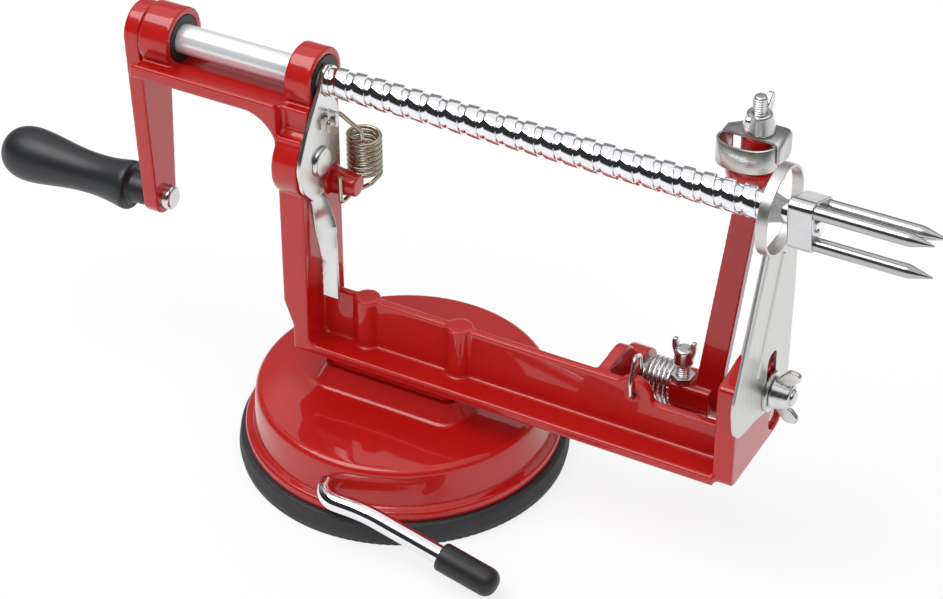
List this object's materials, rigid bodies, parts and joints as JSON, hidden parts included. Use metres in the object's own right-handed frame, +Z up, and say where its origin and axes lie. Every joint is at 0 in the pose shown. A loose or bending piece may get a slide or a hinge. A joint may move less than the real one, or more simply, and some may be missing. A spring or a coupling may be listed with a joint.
{
  "type": "apple peeler",
  "caption": "Hand cranked apple peeler, corer and slicer: a screw shaft feeds the fruit on a fork past a sprung peeling blade, on a suction base.",
  "frame": {"origin": "middle of the suction pad's underside, on the table", "axes": "+X along the feed shaft from the crank to the fork, +Y away from the user, +Z up"},
  "size_m": [0.3187, 0.1128, 0.151],
  "materials": {
    "red_enamel": "glossy stoved enamel",
    "bright_chrome": "polished",
    "blade_steel": "brushed stainless",
    "zinc_plate": "bright zinc plate",
    "spring_steel": "bright spring wire",
    "spring_nickel": "nickel plated wire with a warm tint",
    "black_plastic": "satin black",
    "black_handle": "satin lacquer",
    "pad_rubber": "matt"
  },
  "bodies": {
    "frame": {"frame_casting": "red_enamel", "suction_cover": "red_enamel", "suction_pad": "pad_rubber", "base_screws": "zinc_plate", "arm_pivot_pin": "zinc_plate", "lever_rivet": "zinc_plate", "slicer_bolt": "zinc_plate", "slicer_washer": "zinc_plate", "corer_blade": "blade_steel", "feed_lever_spring": "spring_nickel", "arm_torsion_spring": "spring_steel"},
    "bushes": {"rear_bush": "black_plastic", "front_bush": "black_plastic"},
    "feed": {"feed_shaft": "bright_chrome", "fork_hub": "bright_chrome", "fork_prongs": "bright_chrome", "crank_arm": "red_enamel", "handle_bolt": "zinc_plate"},
    "handle": {"crank_handle": "black_handle"},
    "release_lever": {"feed_lever": "bright_chrome"},
    "peel_arm": {"peeling_arm": "red_enamel", "peeler_blade": "blade_steel", "blade_stud": "zinc_plate", "tension_collar": "zinc_plate"},
    "blade_nut": {"blade_wing_nut": "zinc_plate"},
    "tension": {"tension_screw": "zinc_plate"},
    "slicer_nut": {"slicer_wing_nut": "zinc_plate"},
    "suction": {"suction_lever": "bright_chrome", "lever_cap": "black_plastic"},
    "stud": {"pull_stud": "zinc_plate"}
  },
  "joints": [
    {"name": "crank_spin", "type": "hinge", "parent": "frame", "child": "bushes", "pos_m": [0, 0, 0.1295], "axis": [1, 0, 0], "range_deg": [-7368, 0]},
    {"name": "shaft_feed", "type": "slide", "parent": "bushes", "child": "feed", "axis": [1, 0, 0], "range_m": [-0.13, 0]},
    {"name": "handle_spin", "type": "hinge", "parent": "feed", "child": "handle", "pos_m": [-0.12, 0, 0.0675], "axis": [1, 0, 0], "continuous": true},
    {"name": "feed_lever_release", "type": "hinge", "parent": "frame", "child": "release_lever", "pos_m": [-0.0246, -0.007, 0.1045], "axis": [1, 0, 0], "range_deg": [0, 10], "stiffness_Nm_per_rad": 0.3, "springref_deg": -20.05, "deforming": ["feed_lever_spring"]},
    {"name": "peeling_arm_swing", "type": "hinge", "parent": "frame", "child": "peel_arm", "pos_m": [0.1, 0.0183, 0.042], "axis": [1, 0, 0], "range_deg": [-28, 0], "stiffness_Nm_per_rad": 0.25, "springref_deg": 34.38, "deforming": ["arm_torsion_spring"]},
    {"name": "blade_nut_turn", "type": "hinge", "parent": "peel_arm", "child": "blade_nut", "pos_m": [0.107, 0.021, 0.1425], "axis": [0, 0, 1], "continuous": true},
    {"name": "tension_screw_turn", "type": "hinge", "parent": "peel_arm", "child": "tension", "pos_m": [0.0912, 0.0129, 0.05], "axis": [0, 0, 1], "continuous": true},
    {"name": "slicer_nut_turn", "type": "hinge", "parent": "frame", "child": "slicer_nut", "pos_m": [0.127, 0.007, 0.06], "axis": [1, 0, 0], "continuous": true},
    {"name": "suction_lever_turn", "type": "hinge", "parent": "frame", "child": "suction", "pos_m": [0, 0, 0.016], "axis": [0, -1, 0], "range_deg": [0, 180]},
    {"name": "stud_lift", "type": "slide", "parent": "frame", "child": "stud", "axis": [0, 0, 1], "range_m": [0, 0.0025]}
  ],
  "couplings": [
    {"joint": "shaft_feed", "follows": "crank_spin", "m_per_rad": 0.0010106},
    {"joint": "stud_lift", "follows": "suction_lever_turn", "m_per_rad": 0.00079577}
  ]
}
